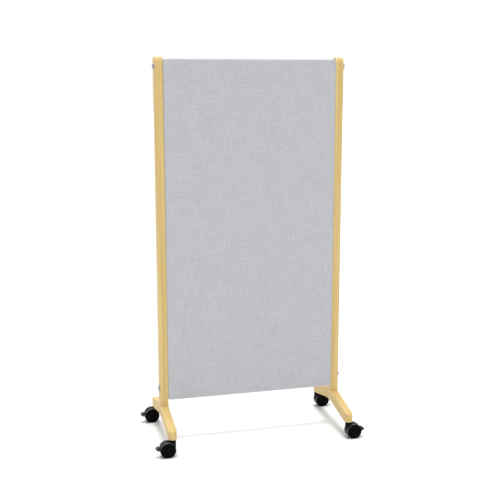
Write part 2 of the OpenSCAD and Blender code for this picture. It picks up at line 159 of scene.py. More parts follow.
class PARTITION_PG_casters(bpy.types.PropertyGroup):
    """Casters"""

    shoulder: FloatProperty(
        name="Wheel Shoulder", description="Rounding of a wheel's tread towards its sides",
        default=1.8 * MM, min=0.5 * MM, max=4 * MM, unit="LENGTH")
    spokes: IntProperty(
        name="Wheel Ribs", description="Number of stiffening ribs on the hidden side of a wheel",
        default=16, min=4, max=40)
    mould_radius: FloatProperty(
        name="Moulded Edge Radius", description="Rounding of the edges of the moulded parts",
        default=0.7 * MM, min=0.1 * MM, max=2 * MM, unit="LENGTH")
    grip_ribs: IntProperty(
        name="Grip Ribs", description="Number of ribs on the foot plate of a brake pedal",
        default=5, min=2, max=9)
    black: FloatVectorProperty(
        name="Moulded Black", description="Colour of the moulded parts",
        default=(0.0026, 0.0026, 0.0028), subtype="COLOR", min=0, max=1)
    grey: FloatVectorProperty(
        name="Tread Grey", description="Colour of the running surfaces and the brake pedals",
        default=(0.034, 0.034, 0.035), subtype="COLOR", min=0, max=1)


class PARTITION_PG_stage(bpy.types.PropertyGroup):
    """Camera and studio"""

    camera_place: FloatVectorProperty(
        name="Camera Place", description="Where the camera stands",
        default=(-1.0027, -3.7234, 1.5237), subtype="TRANSLATION", unit="LENGTH")
    azimuth: FloatProperty(
        name="Camera Azimuth", description="How far the camera turns from +Y towards +X",
        default=math.radians(15.07), subtype="ANGLE")
    pitch: FloatProperty(
        name="Camera Pitch", description="How far the camera looks down",
        default=math.radians(10.56), subtype="ANGLE")
    lens: FloatProperty(
        name="Lens", description="Focal length in millimetres on a 36 mm sensor",
        default=66.28, min=20, max=200)
    sky: FloatProperty(
        name="Room Light", description="Strength of the even light from all round",
        default=0.44, min=0, max=3)
    sky_tint: FloatVectorProperty(
        name="Room Tint", description="Colour of the even light, a little cool against the warm timber",
        default=(0.91, 0.96, 1.0), subtype="COLOR", min=0, max=1)
    overhead: FloatProperty(
        name="Overhead Light", description="Strength of the soft light right above the screen",
        default=1.65, min=0, max=10)
    overhead_width: FloatProperty(
        name="Overhead Width", description="How wide the overhead light looks from the floor",
        default=math.radians(14), subtype="ANGLE")
    flank: FloatProperty(
        name="Flanking Lights", description="Strength of the soft lights high in front and behind",
        default=0.86, min=0, max=10)
    flank_width: FloatProperty(
        name="Flanking Width", description="How wide the flanking lights look from the floor",
        default=math.radians(48), subtype="ANGLE")
    flank_tilt: FloatProperty(
        name="Flanking Tilt", description="How far the flanking lights stand from overhead",
        default=math.radians(35), subtype="ANGLE")


SETTINGS = {
    "partition_timber": PARTITION_PG_timber,
    "partition_panel": PARTITION_PG_panel,
    "partition_casters": PARTITION_PG_casters,
    "partition_stage": PARTITION_PG_stage,
}


# ------------------------------------------------------------------ shader maths

def find_socket(sockets, key):
    """The socket of that number, identifier or name."""
    if isinstance(key, int):
        return sockets[key]
    for socket in sockets:
        if socket.identifier == key:
            return socket
    return sockets[key]


def spaced(values):
    """The same values, with each _ in their names turned into a space."""
    return {name.replace("_", " "): value for name, value in values.items()}


def add_node(tree, kind, settings, sockets):
    """Adds a node to a tree, sets it up and plugs its sockets with other sockets or plain values."""
    made = tree.nodes.new(kind)
    for name, value in (settings or {}).items():
        setattr(made, name, value)
    for key, value in (sockets or {}).items():
        socket = find_socket(made.inputs, key)
        if isinstance(value, Wire):
            value = value.socket
        if isinstance(value, bpy.types.NodeSocket):
            tree.links.new(value, socket)
        elif socket.type == "RGBA" and len(value) == 3:
            socket.default_value = (*value, 1)
        else:
            socket.default_value = value
    return made


def maths(operation, swapped=False):
    """A method of Wire that adds a Math node; a swapped one has the wire as its last value."""
    def method(self, *others):
        values = (*others, self) if swapped else (self, *others)
        return self.recipe.node("Math", {"operation": operation}, dict(enumerate(values)))
    return method


class Wire:
    """A shader socket that adds Math nodes when it is used in an expression."""

    def __init__(self, recipe, socket):
        self.recipe = recipe
        self.socket = socket

    __add__ = __radd__ = maths("ADD")
    __sub__ = maths("SUBTRACT")
    __rsub__ = maths("SUBTRACT", swapped=True)
    __mul__ = __rmul__ = maths("MULTIPLY")
    __truediv__ = maths("DIVIDE")
    __gt__ = maths("GREATER_THAN")
    larger = maths("MAXIMUM")
    floor = maths("FLOOR")
    fraction = maths("FRACT")
    sine = maths("SINE")
    cosine = maths("COSINE")

    def between(self, low, high):
        """0 below low, 1 above high and smooth from one to the other."""
        return self.recipe.node(
            "MapRange", {"interpolation_type": "SMOOTHSTEP"},
            {"Value": self, "From Min": low, "From Max": high})


class Recipe:
    """A material or a world written as expressions on its sockets."""

    def __init__(self, name, kind="materials"):
        self.made = getattr(bpy.data, kind).new(name)
        self.made.use_nodes = True
        self.tree = self.made.node_tree
        self.tree.nodes.clear()

    def node(self, kind, settings=None, sockets=None, out=0):
        """Adds a shader node and returns its output as a Wire."""
        made = add_node(self.tree, "ShaderNode" + kind, settings, sockets)
        return Wire(self, find_socket(made.outputs, out)) if made.outputs else None

    def place(self):
        """Object coordinates."""
        return self.node("TexCoord", out="Object")

    def attribute(self, name):
        return self.node("Attribute", {"attribute_name": name}, out="Vector")

    def split(self, vector):
        """The three numbers of a vector."""
        made = self.node("SeparateXYZ", {}, {"Vector": vector})
        return [Wire(self, socket) for socket in made.socket.node.outputs]

    def join(self, x, y, z):
        return self.node("CombineXYZ", {}, {"X": x, "Y": y, "Z": z})

    def noise(self, vector, scale=1.0, detail=2.0, roughness=0.5):
        """Noise from 0 to 1. A scale may be three numbers, one for each axis."""
        if isinstance(scale, tuple):
            vector = self.node("Mapping", {"vector_type": "POINT"}, {"Vector": vector, "Scale": scale})
            scale = 1.0
        return self.node(
            "TexNoise", {},
            {"Vector": vector, "Scale": scale, "Detail": detail, "Roughness": roughness}, "Fac")

    def blend(self, factor, a, b):
        """Mixes two colours."""
        return self.node(
            "Mix", {"data_type": "RGBA"},
            {"Factor_Float": factor, "A_Color": a, "B_Color": b}, "Result_Color")

    def relief(self, height, depth, under=None):
        """A Bump node: height from 0 to 1 stands depth metres high."""
        sockets = {"Height": height, "Distance": depth, "Strength": 1.0}
        if under is not None:
            sockets["Normal"] = under
        return self.node("Bump", {}, sockets)

    def finish(self, **sockets):
        """The surface itself, with its sockets named as the shader names them."""
        shader = self.node("BsdfPrincipled", {}, spaced(sockets))
        self.node("OutputMaterial", {}, {"Surface": shader})
        return self.made


FINISHES = {}  # the materials made so far, by name


def finish(name, make, *settings, **numbers):
    """The material of that name, made the first time it is asked for."""
    if name not in FINISHES:
        FINISHES[name] = make(name, *settings, **numbers)
    return FINISHES[name]


def birch(name, timber):
    """Pale straight-grained birch under a clear satin lacquer. It follows each piece's own grain."""
    fleck_tone, warm_tone = (0.30, 0.185, 0.070), (0.66, 0.43, 0.20)
    r = Recipe(name)
    grain = r.attribute("grain")
    waver = r.noise(grain, (5, 5, 1.4), detail=1.0)
    x, y, z = r.split(grain)
    bent = r.join(x + waver * 0.010, y + waver * 0.006, z)
    bands = r.noise(bent, (85, 60, 0.9), detail=2.0)
    streaks = r.noise(bent, (330, 260, 4.5), detail=2.0)
    across = 1 / timber.fibre_width
    fibres = r.noise(bent, (across, across, 22), detail=3.0, roughness=0.6)
    flecks = r.noise(bent, (across * 1.6, across * 1.6, 130), detail=1.0).between(0.63, 0.72)
    tone = (bands * 0.50 + streaks * 0.30 + fibres * 0.20).between(0.34, 0.66)
    wood = r.blend(tone, timber.light_tone, timber.dark_tone)
    wood = r.blend(flecks * 0.30, wood, fleck_tone)
    warm = r.noise(grain, (14, 14, 2.2), detail=1.0).between(0.35, 0.75)
    wood = r.blend(warm * 0.22, wood, warm_tone)
    return r.finish(
        Base_Color=wood,
        Roughness=0.50 + fibres * 0.12,
        Normal=r.relief(fibres - flecks * 0.5, depth=0.06 * MM),
        Coat_Weight=0.25, Coat_Roughness=0.30, Specular_IOR_Level=0.22)


def plain_timber(name, light, dark, fibre):
    """Unfinished wood of the hidden pieces, with its fibres along Z."""
    r = Recipe(name)
    place = r.place()
    bands = r.noise(place, (70, 70, 3), detail=2.0)
    fibres = r.noise(place, (fibre, fibre, 40), detail=3.0, roughness=0.6)
    tone = (bands * 0.6 + fibres * 0.4).between(0.3, 0.7)
    return r.finish(
        Base_Color=r.blend(tone, light, dark), Roughness=0.62 + fibres * 0.15,
        Normal=r.relief(fibres, depth=0.1 * MM))


def weave(name, panel):
    """Plain-woven wool melange. It reads the cloth attribute, which runs along the cover's surface."""
    r = Recipe(name)
    u, v, side = r.split(r.attribute("cloth"))
    across, along = u / panel.yarn_pitch, v / panel.yarn_pitch
    warp, weft = across.floor(), along.floor()
    warp_over = ((along - 0.5 + warp) * math.pi).cosine() * 0.5 + 0.5
    weft_over = 0.5 - ((across - 0.5 + weft) * math.pi).cosine() * 0.5
    warp_height = (across.fraction() * math.pi).sine() * warp_over
    weft_height = (along.fraction() * math.pi).sine() * weft_over
    warp_shows = warp_height > weft_height
    # painted shade: a near-black tone for the hollows between the yarns
    streak, painted_gap_shade = 85.0, (0.10, 0.104, 0.112)
    warp_tone = r.noise(r.join(warp * 3.7, v * streak, side), detail=1.0)
    weft_tone = r.noise(r.join(weft * 5.3, u * streak, side + 9), detail=1.0)
    slub = r.noise(r.join(warp * 0.27, v * 15, side), detail=1.0) + r.noise(
        r.join(weft * 0.23, u * 15, side + 5), detail=1.0)
    cloud = r.noise(r.join(u * 9, v * 9, side), detail=2.0)
    yarn = warp_tone * warp_shows + weft_tone * (1 - warp_shows)
    melange = (yarn * 0.52 + slub * 0.20 + cloud * 0.06).between(0.33, 0.65)
    cloth = r.blend(melange, panel.dark_yarn, panel.light_yarn)
    height = warp_height.larger(weft_height)
    # painted shade: the colour darkens towards that tone, by up to 30%, where the yarns dip low
    cloth = r.blend((1 - height.between(0.0, 0.55)) * 0.30, cloth, painted_gap_shade)
    fuzz = r.noise(r.join(u * 2600, v * 2600, side), detail=1.0)
    return r.finish(
        Base_Color=cloth, Roughness=0.93,
        Normal=r.relief(fuzz, depth=0.05 * MM, under=r.relief(height, depth=0.22 * MM)),
        Sheen_Weight=0.12, Sheen_Roughness=0.55, Specular_IOR_Level=0.18)


def felt(name, light, dark, fleck):
    """Pressed felt or wadding: matted fibres with flecks."""
    r = Recipe(name)
    place = r.place()
    matted = r.noise(place, 260, 4.0, 0.7)
    flecks = r.noise(place, 900, 1.0).between(0.6, 0.7)
    colour = r.blend(matted.between(0.3, 0.7), dark, light)
    return r.finish(
        Base_Color=r.blend(flecks * 0.5, colour, fleck), Roughness=0.95,
        Normal=r.relief(matted, depth=0.4 * MM), Sheen_Weight=0.15)


def moulded(name, colour, rough, shine=0.10, grain=0.02 * MM):
    """Injection-moulded plastic with a fine spark-eroded grain and slight handling marks."""
    r = Recipe(name)
    place = r.place()
    fine = r.noise(place, 2400, 2.0)
    marks = r.noise(place, 95, 3.0, 0.6)
    pale = tuple(min(1, channel * 1.5 + 0.001) for channel in colour)
    return r.finish(
        Base_Color=r.blend(marks.between(0.48, 0.80) * 0.5, colour, pale),
        Roughness=rough + marks * 0.14,
        Normal=r.relief(fine, depth=grain), Specular_IOR_Level=shine)


def tread(name, colour):
    """The running surface of a wheel: smooth, a little dusty, with fine rings from the mould."""
    r = Recipe(name)
    place = r.place()
    dust = r.noise(place, 140, 3.0, 0.65).between(0.45, 0.75)
    rings = r.noise(place, (60, 2600, 60), detail=1.0)
    dust_tone = (0.060, 0.059, 0.056)
    return r.finish(
        Base_Color=r.blend(dust * 0.40, colour, dust_tone),
        Roughness=0.36 + dust * 0.16,
        Normal=r.relief(rings, depth=0.012 * MM), Specular_IOR_Level=0.45)


def plated(name, colour, rough):
    """Zinc-plated steel or yellow metal with the faint clouding of a plating bath."""
    r = Recipe(name)
    place = r.place()
    cloud = r.noise(place, 420, 2.0)
    scratch = r.noise(place, (300, 2200, 2200), detail=2.0)
    dull = tuple(channel * 0.72 for channel in colour)
    return r.finish(
        Base_Color=r.blend(cloud.between(0.35, 0.75) * 0.5, colour, dull),
        Metallic=1.0, Roughness=rough + cloud * 0.14,
        Normal=r.relief(scratch, depth=0.008 * MM))


def studio_floor(name):
    """Plain pale studio floor."""
    r = Recipe(name)
    speck = r.noise(r.place(), 35, 2.0)
    return r.finish(
        Base_Color=r.blend(speck, (0.93, 0.93, 0.935), (0.95, 0.95, 0.95)), Roughness=0.8,
        Specular_IOR_Level=0.1)


# ------------------------------------------------------------------ mesh helpers

def link(name, data):
    """Puts a new object with this data in the scene."""
    made = bpy.data.objects.new(name, data)
    bpy.context.scene.collection.objects.link(made)
    return made


def new_object(name, shape, *materials):
    """Links a mesh, or a bmesh that is then freed, as an object in the scene."""
    mesh = shape
    if isinstance(shape, bmesh.types.BMesh):
        mesh = bpy.data.meshes.new(name)
        shape.to_mesh(mesh)
        shape.free()
    for material in materials:
        mesh.materials.append(material)
    return link(name, mesh)


def settle(piece, sharp=35):
    """Turns a piece's modifiers into plain mesh, shaded smooth but for edges over sharp degrees."""
    graph = bpy.context.evaluated_depsgraph_get()
    mesh = bpy.data.meshes.new_from_object(
        piece.evaluated_get(graph), preserve_all_data_layers=True, depsgraph=graph)
    piece.modifiers.clear()
    piece.data = mesh
    mesh.name = piece.name
    while mesh.materials and mesh.materials[0] is None:
        mesh.materials.pop(index=0)
    mesh.shade_smooth()
    mesh.set_sharp_from_angle(angle=math.radians(sharp))


def deliver(piece, body, slot, *replaced):
    """Makes a piece ride on its body and hides the CAD nodes it stands for. Its slot is not used."""
    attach(piece, body)
    if replaced:
        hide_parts(*replaced)


def bevel(piece, width, segments, limit="ANGLE", angle=30):
    """Rounds the edges over angle degrees, or those that have a weight."""
    made = piece.modifiers.new("bevel", "BEVEL")
    made.width = width
    made.segments = segments
    made.limit_method = limit
    made.angle_limit = math.radians(angle)


def bridge(shape, a, b):
    """Joins two rings of points with a band of faces. A ring may be a single point."""
    steps = max(len(a), len(b))
    for i in range(steps):
        j = (i + 1) % steps
        corners = (a[i % len(a)], a[j % len(a)], b[j % len(b)], b[i % len(b)])
        shape.faces.new(list(dict.fromkeys(corners)))


def prism(outline, low, high, axes):
    """A bmesh of an outline drawn on two axes, and extruded along the third from low to high."""
    shape = bmesh.new()
    u, v = axes
    w = 3 - u - v

    def corner(point, depth):
        place = [0.0, 0.0, 0.0]
        place[u], place[v], place[w] = point[0], point[1], depth
        return shape.verts.new(place)

    near = [corner(point, low) for point in outline]
    far = [corner(point, high) for point in outline]
    shape.faces.new(near)
    shape.faces.new(far)
    bridge(shape, near, far)
    bmesh.ops.recalc_face_normals(shape, faces=shape.faces)
    return shape


def arc(middle, radius, start, end, steps):
    """Points on an arc, in degrees, from start to end."""
    turns = [math.radians(start + (end - start) * i / steps) for i in range(steps + 1)]
    return [(middle[0] + radius * math.cos(t), middle[1] + radius * math.sin(t)) for t in turns]


def lathe(section, steps, middle, facing):
    """Turns a section of (radius, height) about Y through middle, from radius 0 to radius 0. Height
    grows along facing * Y."""
    shape = bmesh.new()
    rings = []
    for radius, height in section:
        y = middle.y + facing * height
        if radius == 0:
            rings.append([shape.verts.new((middle.x, y, middle.z))])
            continue
        turns = [2 * math.pi * i / steps for i in range(steps)]
        rings.append([
            shape.verts.new((middle.x + radius * math.cos(t), y, middle.z + radius * math.sin(t)))
            for t in turns])
    for a, b in zip(rings, rings[1:]):
        bridge(shape, a, b)
    bmesh.ops.recalc_face_normals(shape, faces=shape.faces)
    return shape


def tidy_copy(node):
    """A copy of a CAD node's mesh with its loose triangles merged into flat faces."""
    same_place, same_face = 0.002 * MM, math.radians(0.4)
    shape = bmesh.new()
    shape.from_mesh(frame["nodes"][node].data)
    bmesh.ops.remove_doubles(shape, verts=shape.verts, dist=same_place)
    bmesh.ops.dissolve_limit(
        shape, angle_limit=same_face, verts=shape.verts, edges=shape.edges)
    return shape


def write_grain(piece, turn, seed):
    """Stores where each point lies in the board it was cut from; turn lays the board's length on Z,
    and seed picks another part of the board's grain."""
    mesh = piece.data
    places = np.empty(len(mesh.vertices) * 3, np.float32)
    mesh.vertices.foreach_get("co", places)
    places = places.reshape(-1, 3) @ np.array(turn, np.float32).T
    places += np.array([seed * shift for shift in (1.37, 0.71, 2.93)], np.float32)
    made = mesh.attributes.new("grain", "FLOAT_VECTOR", "POINT")
    made.data.foreach_set("vector", places.ravel())


# ------------------------------------------------------------------ timber

def post_outline(low, high):
    """Side of a post, rounded over at the top."""
    half = (high.y - low.y) / 2
    top = arc((0, high.z - half), half, 0, 180, steps=40)
    return [(-half, low.z), (half, low.z)] + top


def weigh_edges(shape, weight_of, *details):
    """Sets how much of the bevel each edge takes, as weight_of(edge, *details) says."""
    layer = shape.edges.layers.float.new("bevel_weight_edge")
    for edge in shape.edges:
        edge[layer] = weight_of(edge, *details)


def finish_board(node, shape, timber, turn, seed):
    """Makes a post or a leg of its shape: rounds its edges and gives it its own grain."""
    board = new_object(f"{node}_birch", shape, finish("birch", birch, timber))
    bevel(board, timber.arris, segments=4, limit="WEIGHT")
    settle(board)
    write_grain(board, turn, seed)
    deliver(board, "frame", "post_timber", node)


class PARTITION_OT_posts(bpy.types.Operator):
    """Make the two posts with rounded edges and their own grain"""

    bl_idname = "partition.posts"
    bl_label = "Posts"

    def execute(self, context):
        timber = context.scene.partition_timber
        joint = timber.joint_arris / timber.arris
        for seed, side in enumerate(SIDES):
            node = f"{side}_post"
            low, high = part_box(node)
            shape = prism(post_outline(low, high), low.x, high.x, (1, 2))
            weigh_edges(shape, self.weight, low.z, joint)
            finish_board(node, shape, timber, Matrix.Identity(3), seed + 1)
        return {"FINISHED"}

    @staticmethod
    def weight(edge, foot, joint):
        """Slight at the foot, where the legs join, full round each side, and none on the edges that
        run from side to side."""
        a, b = (vert.co for vert in edge.verts)
        if max(a.z, b.z) < foot + SAME:
            return joint
        return 1.0 if abs(a.x - b.x) < SAME else 0.0


def leg_shape(node, root):
    """One leg: a board that slopes down from root, with its end rounded about the caster stem.

    The board is drawn towards +Y and mirrored where it belongs to the front.
    """
    low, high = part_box(node)
    end = frontward(node)
    half = (high.x - low.x) / 2
    middle = (high.x + low.x) / 2
    post_face = min(abs(low.y), abs(high.y))
    tip = max(abs(low.y), abs(high.y))
    stem = tip - half
    places = [v.co for v in frame["nodes"][node].data.vertices]
    at_root, at_tip, at_pad = 0.1 * MM, 2 * MM, 0.05 * MM
    root_low = min(p.z for p in places if abs(abs(p.y) - post_face) < at_root)
    tip_high = max(p.z for p in places if abs(abs(p.y) - tip) < at_tip)
    pad = min(abs(p.y) for p in places if p.z < low.z + at_pad)

    def top(y):
        return high.z + (tip_high - high.z) * (y - post_face) / (tip - post_face)

    def bottom(y):
        share = min(1, (y - post_face) / (pad - post_face))
        return root_low + (low.z - root_low) * share

    plan = [(-half, root), (-half, pad)]
    plan += reversed(arc((0, stem), half, 0, 180, steps=32))
    plan += [(half, pad), (half, root)]
    shape = bmesh.new()
    upper = [shape.verts.new((middle + x, end * y, top(y))) for x, y in plan]
    lower = [shape.verts.new((middle + x, end * y, bottom(y))) for x, y in plan]
    shape.faces.new(upper)
    shape.faces.new([lower[i] for i in (0, 1, -2, -1)])
    shape.faces.new(lower[1:-1])
    bridge(shape, lower, upper)
    bmesh.ops.recalc_face_normals(shape, faces=shape.faces)
    slope = math.atan2(high.z - tip_high, tip - post_face)
    return shape, slope


class PARTITION_OT_legs(bpy.types.Operator):
    """Make the four sloping legs, flush with the posts at their roots"""

    bl_idname = "partition.legs"
    bl_label = "Legs"

    def execute(self, context):
        timber = context.scene.partition_timber
        joint = timber.joint_arris / timber.arris
        seed = 4
        for side in SIDES:
            root = extent(f"{side}_post").y / 2 - timber.arris
            for end in ENDS:
                node = f"{side}_{end}_leg"
                shape, slope = leg_shape(node, root)
                weigh_edges(shape, self.weight, root, joint)
                lay_down = Matrix.Rotation(frontward(node) * (math.pi / 2 + slope), 3, "X")
                finish_board(node, shape, timber, lay_down, seed)
                seed += 1
        return {"FINISHED"}

    @staticmethod
    def weight(edge, root, joint):
        """Slight at the root, where the leg meets its post, and full on the other sharp edges."""
        sharp = math.radians(30)
        if max(abs(vert.co.y) for vert in edge.verts) < root + SAME:
            return joint
        return 1.0 if edge.calc_face_angle(0) > sharp else 0.0


# ------------------------------------------------------------------ upholstered panel

def smooth(share):
    """Eases from 0 to 1."""
    share = np.clip(share, 0, 1)
    return share * share * (3 - 2 * share)


class Cover:
    """The form of the woven cover. A point is told by its place on the flat of the panel's face,
    half_w by half_h from the middle, and by how far it lies out from there round the soft edge."""

    def __init__(self, panel):
        low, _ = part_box("front_cover")
        _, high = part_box("rear_cover")
        self.radius = panel.edge_radius
        self.crown = panel.crown
        self.seam_depth = panel.seam_depth
        self.half_w = (high.x - low.x) / 2 - panel.clearance - self.radius
        self.half_h = (high.z - low.z) / 2 - self.radius
        self.middle_z = (high.z + low.z) / 2
        self.middle_y = (high.y + low.y) / 2
        self.half_t = (high.y - low.y) / 2
        self.steps = (
            2 * round(self.half_w / panel.mesh_pitch),
            2 * round(self.half_h / panel.mesh_pitch))
        self.corner_steps = 8

    def section(self):
        """The soft edge from the seam to the face: (distance out, depth from the middle, run)."""
        flat = self.half_t - self.radius
        edge_t = self.half_t - self.crown
        seam_reach = 0.9 * MM
        fullness = 0.92
        turns = 8
        points = []
        for row in (0.0, 0.35, 0.8, 1.5, 3.0, 6.0, 9.5):
            y = row * MM
            sunk = self.seam_depth * math.exp(-((y / seam_reach) ** 2))
            points.append((self.radius - sunk, y))
        for i in range(turns + 1):
            turn = math.radians(90 * i / turns)
            points.append((
                self.radius * math.cos(turn) ** fullness,
                flat + (edge_t - flat) * math.sin(turn) ** fullness))
        points[-1] = (0.0, edge_t)
        runs = [0.0]
        for (d0, y0), (d1, y1) in zip(points[::-1], points[-2::-1]):
            runs.append(runs[-1] + math.hypot(d1 - d0, y1 - y0))
        runs.reverse()
        return [(d, y, run) for (d, y), run in zip(points, runs)]

    def ring(self):
        """Points round the flat's edge as (x, z, outward x, outward z), with a fan at each corner."""
        w, h = self.half_w, self.half_h
        nx, nz = self.steps
        points = []
        corners = [(w, -h, -90), (w, h, 0), (-w, h, 90), (-w, -h, 180)]
        counts = [nz, nx, nz, nx]
        for k, (cx, cz, start) in enumerate(corners):
            for i in range(self.corner_steps + 1):
                turn = math.radians(start + 90 * i / self.corner_steps)
                points.append((cx, cz, math.cos(turn), math.sin(turn)))
            nxt = corners[(k + 1) % 4]
            turn = math.radians(start + 90)
            for i in range(1, counts[k]):
                share = i / counts[k]
                points.append((
                    cx + (nxt[0] - cx) * share, cz + (nxt[1] - cz) * share,
                    math.cos(turn), math.sin(turn)))
        return points

    def swell(self, x, z):
        """How far the face stands out at a place, from 0 at its edge to the crown in the middle. A
        swollen face is built with it."""
        reach = 55 * MM
        return self.crown * smooth((self.half_w - abs(x)) / reach) * smooth(
            (self.half_h - abs(z)) / reach)

    def gather(self, x, z):
        """Shallow folds that run in from each corner, where the cloth is pulled over two edges."""
        height, reach, start, waves = 0.35 * MM, 38 * MM, 12 * MM, 14
        from_x, from_z = self.half_w - abs(x), self.half_h - abs(z)
        away = math.hypot(from_x, from_z)
        turn = math.atan2(from_z, from_x + 1e-9)
        fade = math.exp(-away / reach) * float(smooth(away / start))
        return height * fade * math.sin(turn * waves)


class PARTITION_OT_panel_cover(bpy.types.Operator):
    """Make the woven cover: crowned faces, soft edges and a sunk seam between its two halves"""

    bl_idname = "partition.panel_cover"
    bl_label = "Panel Cover"

    def execute(self, context):
        panel = context.scene.partition_panel
        cover = Cover(panel)
        shape = bmesh.new()
        cloth = shape.verts.layers.float_vector.new("cloth")
        for facing in (-1, 1):
            self.edge(shape, cloth, cover, facing)
            self.face(shape, cloth, cover, facing, swollen=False)
        bmesh.ops.remove_doubles(shape, verts=shape.verts, dist=0.005 * MM)
        bmesh.ops.recalc_face_normals(shape, faces=shape.faces)
        piece = new_object("panel_cover", shape, finish("grey melange weave", weave, panel))
        self.fill(piece, cover, panel)
        settle(piece, sharp=60)
        deliver(piece, "frame", "cover_fabric", "front_cover", "rear_cover")
        return {"FINISHED"}

    @staticmethod
    def edge(shape, cloth, cover, facing):
        """The soft edge of one half, from the seam to the face."""
        rows = []
        for distance, depth, run in cover.section():
            row = []
            for x, z, out_x, out_z in cover.ring():
                vert = shape.verts.new((
                    x + out_x * distance, cover.middle_y + facing * depth,
                    cover.middle_z + z + out_z * distance))
                vert[cloth] = (x + out_x * run, z + out_z * run, facing)
                row.append(vert)
            rows.append(row)
        for outer, inner in zip(rows, rows[1:]):
            bridge(shape, outer, inner)

    @staticmethod
    def fill(piece, cover, panel):
        """Simulate the cover as cloth with air inside, held round its edges, and keep how its faces
        rise, up to the crown."""
        places = [vert.co.copy() for vert in piece.data.vertices]
        past_edge, substeps, stiffness = 0.5 * MM, 5, 0.5
        held_depth = cover.half_t - cover.radius + past_edge
        held = [i for i, place in enumerate(places) if abs(place.y - cover.middle_y) < held_depth]
        piece.vertex_groups.new(name="held").add(held, 1.0, "REPLACE")
        air = piece.modifiers.new("air", "CLOTH")
        air.settings.quality = substeps
        air.settings.use_pressure = True
        air.settings.uniform_pressure_force = panel.air_pressure
        air.settings.effector_weights.gravity = 0
        air.settings.vertex_group_mass = "held"
        air.settings.bending_stiffness = stiffness
        air.collision_settings.use_collision = False
        air.point_cache.frame_start = 1
        air.point_cache.frame_end = panel.air_frames + 1
        for moment in range(1, panel.air_frames + 1):
            bpy.context.scene.frame_set(moment)
        filled = piece.evaluated_get(bpy.context.evaluated_depsgraph_get())
        depths = [vert.co.y for vert in filled.data.vertices]
        piece.modifiers.remove(air)
        piece.vertex_groups.clear()
        bpy.context.scene.frame_set(1)
        for vert, place, y in zip(piece.data.vertices, places, depths):
            facing = 1 if place.y > cover.middle_y else -1
            rise = max(0.0, facing * (y - place.y))
            vert.co.y = place.y + facing * cover.crown * (1 - math.exp(-rise / panel.give))

    @staticmethod
    def face(shape, cloth, cover, facing, swollen):
        """The face of one half, flat for the simulation or swollen up to its crown."""
        nx, nz = cover.steps
        grid = []
        for k in range(nz + 1):
            z = cover.half_h * (2 * k / nz - 1)
            row = []
            for i in range(nx + 1):
                x = cover.half_w * (2 * i / nx - 1)
                depth = cover.half_t - cover.crown + cover.gather(x, z)
                if swollen:
                    depth += cover.swell(x, z)
                vert = shape.verts.new((x, cover.middle_y + facing * depth, cover.middle_z + z))
                vert[cloth] = (x, z, facing)
                row.append(vert)
            grid.append(row)
        for low, high in zip(grid, grid[1:]):
            for i in range(nx):
                shape.faces.new((low[i], low[i + 1], high[i + 1], high[i]))


# ------------------------------------------------------------------ geometry nodes

class Tree:
    """A Geometry Nodes tree with named inputs, written as calls."""

    def __init__(self, name):
        self.group = bpy.data.node_groups.new(name, "GeometryNodeTree")
        for way in ("INPUT", "OUTPUT"):
            self.group.interface.new_socket(
                "Geometry", in_out=way, socket_type="NodeSocketGeometry")
        self.start = self.group.nodes.new("NodeGroupInput")
        self.end = self.group.nodes.new("NodeGroupOutput")

    def inputs(self, **kinds):
        """Adds named inputs of these kinds and returns their sockets."""
        for name, kind in spaced(kinds).items():
            self.group.interface.new_socket(
                name, in_out="INPUT", socket_type="NodeSocket" + kind)
        return [self.start.outputs[name] for name in spaced(kinds)]

    def node(self, kind, settings=None, sockets=None):
        """Adds a node of any kind and returns its first output."""
        return add_node(self.group, kind, settings, sockets).outputs[0]

    def math(self, operation, a, b):
        return self.node("ShaderNodeMath", {"operation": operation}, {0: a, 1: b})

    def vector(self, **parts):
        """A vector of X, Y and Z, each 0 unless it is given."""
        return self.node("ShaderNodeCombineXYZ", {}, parts)

    def shape(self, kind, settings=None, **sockets):
        """Adds a geometry node and returns its first output."""
        return self.node("GeometryNode" + kind, settings, spaced(sockets))

    def finish(self, shape, material):
        """Ends the tree in Realize Instances and Set Material."""
        real = self.shape("RealizeInstances", Geometry=shape)
        coated = self.shape("SetMaterial", Geometry=real, Material=material)
        self.group.links.new(coated, self.end.inputs[0])
        return self.group


def run_tree(piece, group, **inputs):
    """Sets a Geometry Nodes tree on a piece, and its inputs by their names."""
    modifier = piece.modifiers.new(group.name, "NODES")
    modifier.node_group = group
    named = {item.name: item.identifier for item in group.interface.items_tree}
    for name, value in spaced(inputs).items():
        modifier[named[name]] = value


def grow(name, group, **inputs):
    """A new object that is all made by a Geometry Nodes tree, as plain mesh."""
    piece = new_object(name, bpy.data.meshes.new("blank"))
    run_tree(piece, group, **inputs)
    settle(piece)
    return piece


def stitch_tree():
    """Short stitches of thread set at an even pitch across a closed path."""
    tree = Tree("seam stitches")
    pitch, length, thread, material = tree.inputs(
        Pitch="Float", Length="Float", Thread="Float", Material="Material")
    points = tree.shape(
        "CurveToPoints", {"mode": "LENGTH"}, Curve=tree.start.outputs["Geometry"], Length=pitch)
    lengthwise = tree.node(
        "FunctionNodeAlignRotationToVector", {"axis": "Z"},
        {"Vector": points.node.outputs["Tangent"]})
    turned = tree.node(
        "FunctionNodeAlignRotationToVector", {"axis": "Y", "pivot_axis": "Z"},
        {"Rotation": lengthwise, "Vector": (0, 1, 0)})
    lift = tree.math("MULTIPLY", thread, 2.2)
    sink = tree.math("MULTIPLY", thread, -1.6)
    bow = tree.shape(
        "CurveQuadraticBezier", Resolution=5,
        Start=tree.vector(X=sink, Y=tree.math("MULTIPLY", length, -0.5)),
        Middle=tree.vector(X=lift),
        End=tree.vector(X=sink, Y=tree.math("MULTIPLY", length, 0.5)))
    round_ = tree.shape("CurvePrimitiveCircle", {"mode": "RADIUS"}, Resolution=6, Radius=thread)
    stitch = tree.shape("CurveToMesh", Curve=bow, Profile_Curve=round_, Fill_Caps=True)
    rows = tree.shape("InstanceOnPoints", Points=points, Instance=stitch, Rotation=turned)
    return tree.finish(rows, material)


